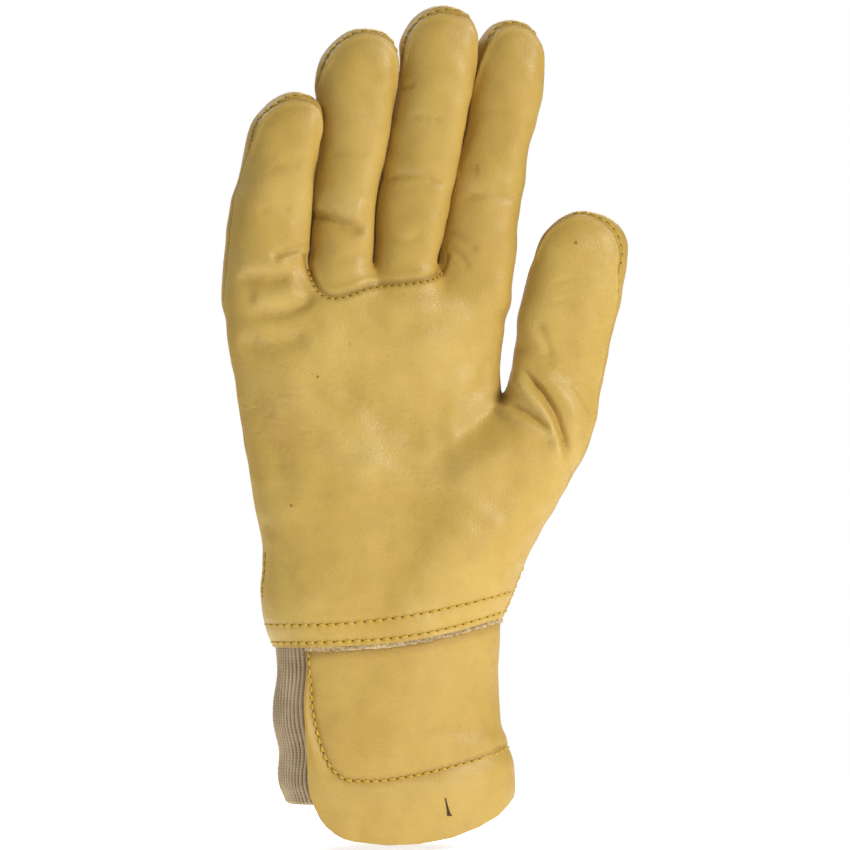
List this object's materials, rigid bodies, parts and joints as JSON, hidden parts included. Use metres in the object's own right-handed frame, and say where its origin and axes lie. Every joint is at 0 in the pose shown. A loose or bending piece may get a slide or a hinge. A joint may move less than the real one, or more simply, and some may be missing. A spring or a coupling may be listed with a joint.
{
  "type": "leather over-glove for insulating gloves",
  "caption": "A yellow grain-leather work glove for the right hand, gunn cut, with a knitted wrist and a short leather cuff, worn over insulating rubber gloves.",
  "frame": {"origin": "middle of the cuff's mouth, at its lowest level", "axes": "+Z towards the fingertips, -Y out of the palm, +X towards the thumb"},
  "size_m": [0.141, 0.0536, 0.2952],
  "materials": {
    "palm_leather": "smooth grain, semi-matt",
    "back_leather": "smooth grain, semi-matt",
    "cuff_leather": "smooth grain, semi-matt",
    "cotton_facing": "plain woven cotton",
    "rib_knit": "rib knit",
    "brushed_lining": "brushed cotton",
    "thread": "twisted sewing thread"
  },
  "bodies": {
    "hand": {"palm_leather": "palm_leather", "back_leather": "back_leather", "ring_and_middle_front_root": "palm_leather", "hem_stitching_lower": "thread", "hem_stitching_upper": "thread", "gunn_seam_stitching": "thread", "side_seam_stitching": "thread", "cuff_leather": "cuff_leather", "cuff_facing": "cotton_facing", "cuff_stitching": "thread", "knit_wrist": "rib_knit", "lining_edge": "brushed_lining"},
    "little_base": {"little_front_base": "palm_leather", "little_back_base": "back_leather", "little_fourchette_base": "back_leather"},
    "little_end": {"little_front_tip": "palm_leather", "little_back_tip": "back_leather", "little_tip_stitching": "thread", "little_fourchette_tip": "back_leather"},
    "ring_base": {"ring_front_base": "palm_leather", "ring_back_base": "back_leather", "ring_fourchette_base": "back_leather"},
    "ring_end": {"ring_front_tip": "palm_leather", "ring_back_tip": "back_leather", "ring_tip_stitching": "thread", "ring_fourchette_tip": "back_leather"},
    "middle_base": {"middle_front_base": "palm_leather", "middle_back_base": "back_leather", "middle_fourchette_base": "back_leather"},
    "middle_end": {"middle_front_tip": "palm_leather", "middle_back_tip": "back_leather", "middle_tip_stitching": "thread", "middle_fourchette_tip": "back_leather"},
    "index_base": {"index_front_base": "palm_leather", "index_back_base": "back_leather", "index_fourchette_base": "back_leather"},
    "index_end": {"index_front_tip": "palm_leather", "index_back_tip": "back_leather", "index_tip_stitching": "thread", "index_fourchette_tip": "back_leather"},
    "thumb_base": {"thumb_front_base": "palm_leather", "thumb_back_base": "back_leather"},
    "thumb_end": {"thumb_front_tip": "palm_leather", "thumb_back_tip": "back_leather", "thumb_tip_stitching": "thread"}
  },
  "joints": [
    {"name": "little_knuckle", "type": "hinge", "parent": "hand", "child": "little_base", "pos_m": [-0.04565, -0.0106, 0.21199], "axis": [0.989, 0, -0.1478], "range_deg": [0, 75], "stiffness_Nm_per_rad": 0.05},
    {"name": "little_middle_crease", "type": "hinge", "parent": "little_base", "child": "little_end", "pos_m": [-0.04255, -0.0106, 0.23276], "axis": [0.989, 0, -0.1478], "range_deg": [0, 80], "stiffness_Nm_per_rad": 0.05},
    {"name": "ring_knuckle", "type": "hinge", "parent": "hand", "child": "ring_base", "pos_m": [-0.02108, -0.0115, 0.21199], "axis": [0.989, 0, -0.1478], "range_deg": [0, 75], "stiffness_Nm_per_rad": 0.05},
    {"name": "ring_middle_crease", "type": "hinge", "parent": "ring_base", "child": "ring_end", "pos_m": [-0.01739, -0.0115, 0.23671], "axis": [0.989, 0, -0.1478], "range_deg": [0, 80], "stiffness_Nm_per_rad": 0.05},
    {"name": "middle_knuckle", "type": "hinge", "parent": "hand", "child": "middle_base", "pos_m": [0.00393, -0.0118, 0.21496], "axis": [0.989, 0, -0.1478], "range_deg": [0, 75], "stiffness_Nm_per_rad": 0.05},
    {"name": "middle_middle_crease", "type": "hinge", "parent": "middle_base", "child": "middle_end", "pos_m": [0.00763, -0.0118, 0.23968], "axis": [0.989, 0, -0.1478], "range_deg": [0, 80], "stiffness_Nm_per_rad": 0.05},
    {"name": "index_knuckle", "type": "hinge", "parent": "hand", "child": "index_base", "pos_m": [0.0286, -0.0115, 0.21496], "axis": [0.989, 0, -0.1478], "range_deg": [0, 75], "stiffness_Nm_per_rad": 0.05},
    {"name": "index_middle_crease", "type": "hinge", "parent": "index_base", "child": "index_end", "pos_m": [0.03215, -0.0115, 0.23869], "axis": [0.989, 0, -0.1478], "range_deg": [0, 80], "stiffness_Nm_per_rad": 0.05},
    {"name": "thumb_knuckle", "type": "hinge", "parent": "hand", "child": "thumb_base", "pos_m": [0.05486, -0.013, 0.15893], "axis": [0.9816, 0, -0.1908], "range_deg": [0, 45], "stiffness_Nm_per_rad": 0.05},
    {"name": "thumb_middle_crease", "type": "hinge", "parent": "thumb_base", "child": "thumb_end", "pos_m": [0.05925, -0.013, 0.1815], "axis": [0.9816, 0, -0.1908], "range_deg": [0, 60], "stiffness_Nm_per_rad": 0.05}
  ]
}
